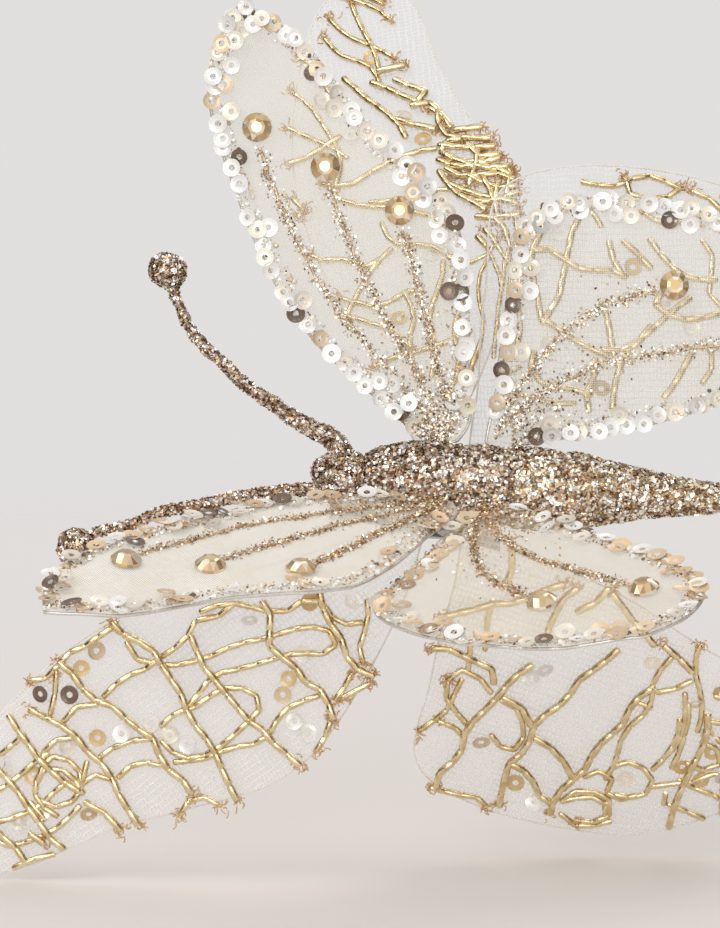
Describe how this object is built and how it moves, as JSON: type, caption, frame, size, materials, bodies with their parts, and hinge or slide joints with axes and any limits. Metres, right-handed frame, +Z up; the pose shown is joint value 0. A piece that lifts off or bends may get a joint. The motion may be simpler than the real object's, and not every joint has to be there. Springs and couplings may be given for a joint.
{
  "type": "butterfly clip-on ornament",
  "caption": "Glittered butterfly ornament with sequined organza wings over corded mesh wings, bendable wire wing and antenna roots, and a sprung clip below.",
  "frame": {"origin": "middle of the grip zone between the clip's closed jaws", "axes": "display pose: +X towards the butterfly's tail, +Y towards its raised right wings, +Z up; the body slopes 3 degrees down to the tail and is rolled 45 degrees so that its back faces up and towards -Y"},
  "size_m": [0.1486, 0.1222, 0.1476],
  "materials": {
    "silver_glitter": "coarse silver and brown glitter over a moulded core",
    "gold_glitter": "coarse champagne and copper glitter over a moulded core",
    "antenna_glitter": "silver glitter coat on wire",
    "bare_wire": "plain wire",
    "rim_wire": "thin silvery wire",
    "clear_glue": "clear set glue",
    "clip_steel": "plain pressed steel",
    "spring_steel": "spring wire",
    "organza": "sheer milky organza",
    "vein_glitter": "champagne glitter glue",
    "gem": "faceted champagne gem",
    "sequin": "pearly cream sequin",
    "tulle": "striped white tulle",
    "gold_cord": "metallic gold cord"
  },
  "bodies": {
    "body": {"thorax": "silver_glitter", "head": "silver_glitter", "abdomen": "gold_glitter", "spine_wire": "bare_wire", "clip_glue_pad": "clear_glue", "clip_upper_jaw": "clip_steel", "clip_pin": "clip_steel", "clip_spring": "spring_steel"},
    "clip_jaw": {"clip_lower_jaw": "clip_steel"},
    "right_forewing": {"right_forewing_wire": "rim_wire", "right_forewing_organza": "organza", "right_forewing_veins": "vein_glitter", "right_forewing_gems": "gem", "right_forewing_sequins": "sequin"},
    "right_hindwing": {"right_hindwing_wire": "rim_wire", "right_hindwing_organza": "organza", "right_hindwing_veins": "vein_glitter", "right_hindwing_gems": "gem", "right_hindwing_sequins": "sequin"},
    "right_mesh_forewing": {"right_mesh_forewing_wire": "rim_wire", "right_mesh_forewing_tulle": "tulle", "right_mesh_forewing_cords": "gold_cord", "right_mesh_forewing_sequins": "sequin"},
    "right_mesh_hindwing": {"right_mesh_hindwing_wire": "rim_wire", "right_mesh_hindwing_tulle": "tulle", "right_mesh_hindwing_cords": "gold_cord", "right_mesh_hindwing_sequins": "sequin"},
    "left_forewing": {"left_forewing_wire": "rim_wire", "left_forewing_organza": "organza", "left_forewing_veins": "vein_glitter", "left_forewing_gems": "gem", "left_forewing_sequins": "sequin"},
    "left_hindwing": {"left_hindwing_wire": "rim_wire", "left_hindwing_organza": "organza", "left_hindwing_veins": "vein_glitter", "left_hindwing_gems": "gem", "left_hindwing_sequins": "sequin"},
    "left_mesh_forewing": {"left_mesh_forewing_wire": "rim_wire", "left_mesh_forewing_tulle": "tulle", "left_mesh_forewing_cords": "gold_cord", "left_mesh_forewing_sequins": "sequin"},
    "left_mesh_hindwing": {"left_mesh_hindwing_wire": "rim_wire", "left_mesh_hindwing_tulle": "tulle", "left_mesh_hindwing_cords": "gold_cord", "left_mesh_hindwing_sequins": "sequin"},
    "right_antenna": {"right_antenna_stem": "antenna_glitter", "right_antenna_tip": "silver_glitter"},
    "left_antenna": {"left_antenna_stem": "antenna_glitter", "left_antenna_tip": "silver_glitter"}
  },
  "joints": [
    {"name": "right_forewing_bend", "type": "hinge", "parent": "body", "child": "right_forewing", "pos_m": [0.01705, -0.00332, 0.00963], "axis": [0.9985, 0, -0.0541], "range_deg": [-7, 7]},
    {"name": "left_forewing_bend", "type": "hinge", "parent": "body", "child": "left_forewing", "pos_m": [0.01663, -0.01039, 0.00192], "axis": [0.9985, 0, -0.0541], "range_deg": [-7, 5]},
    {"name": "right_hindwing_bend", "type": "hinge", "parent": "body", "child": "right_hindwing", "pos_m": [0.02254, -0.00332, 0.00933], "axis": [0.9985, 0, -0.0541], "range_deg": [-7, 7]},
    {"name": "left_hindwing_bend", "type": "hinge", "parent": "body", "child": "left_hindwing", "pos_m": [0.02212, -0.01039, 0.00162], "axis": [0.9985, 0, -0.0541], "range_deg": [-5, 7]},
    {"name": "right_mesh_forewing_bend", "type": "hinge", "parent": "body", "child": "right_mesh_forewing", "pos_m": [0.01388, 0.0005, 0.0066], "axis": [0.9985, 0, -0.0541], "range_deg": [-8, 3]},
    {"name": "left_mesh_forewing_bend", "type": "hinge", "parent": "body", "child": "left_mesh_forewing", "pos_m": [0.01345, -0.00734, -0.00124], "axis": [0.9985, 0, -0.0541], "range_deg": [-8, 8]},
    {"name": "right_mesh_hindwing_bend", "type": "hinge", "parent": "body", "child": "right_mesh_hindwing", "pos_m": [0.01998, -0.00106, 0.00829], "axis": [0.9985, 0, -0.0541], "range_deg": [-3, 8]},
    {"name": "left_mesh_hindwing_bend", "type": "hinge", "parent": "body", "child": "left_mesh_hindwing", "pos_m": [0.01944, -0.00734, -0.00156], "axis": [0.9985, 0, -0.0541], "range_deg": [-8, 8]},
    {"name": "right_antenna_bend", "type": "hinge", "parent": "body", "child": "right_antenna", "pos_m": [-0.00037, -0.00353, 0.00829], "axis": [0.0383, 0.7066, 0.7066], "range_deg": [-12, 12]},
    {"name": "left_antenna_bend", "type": "hinge", "parent": "body", "child": "left_antenna", "pos_m": [-0.00301, -0.00767, 0.00332], "axis": [0.0383, 0.7066, 0.7066], "range_deg": [-12, 12]},
    {"name": "clip_jaw_hinge", "type": "hinge", "parent": "body", "child": "clip_jaw", "pos_m": [0.01639, 0.00152, -0.00241], "axis": [-0.0383, -0.7066, -0.7066], "range_deg": [0, 25], "stiffness_Nm_per_rad": 0.05, "springref_deg": -34.38, "deforming": ["clip_spring"]}
  ]
}
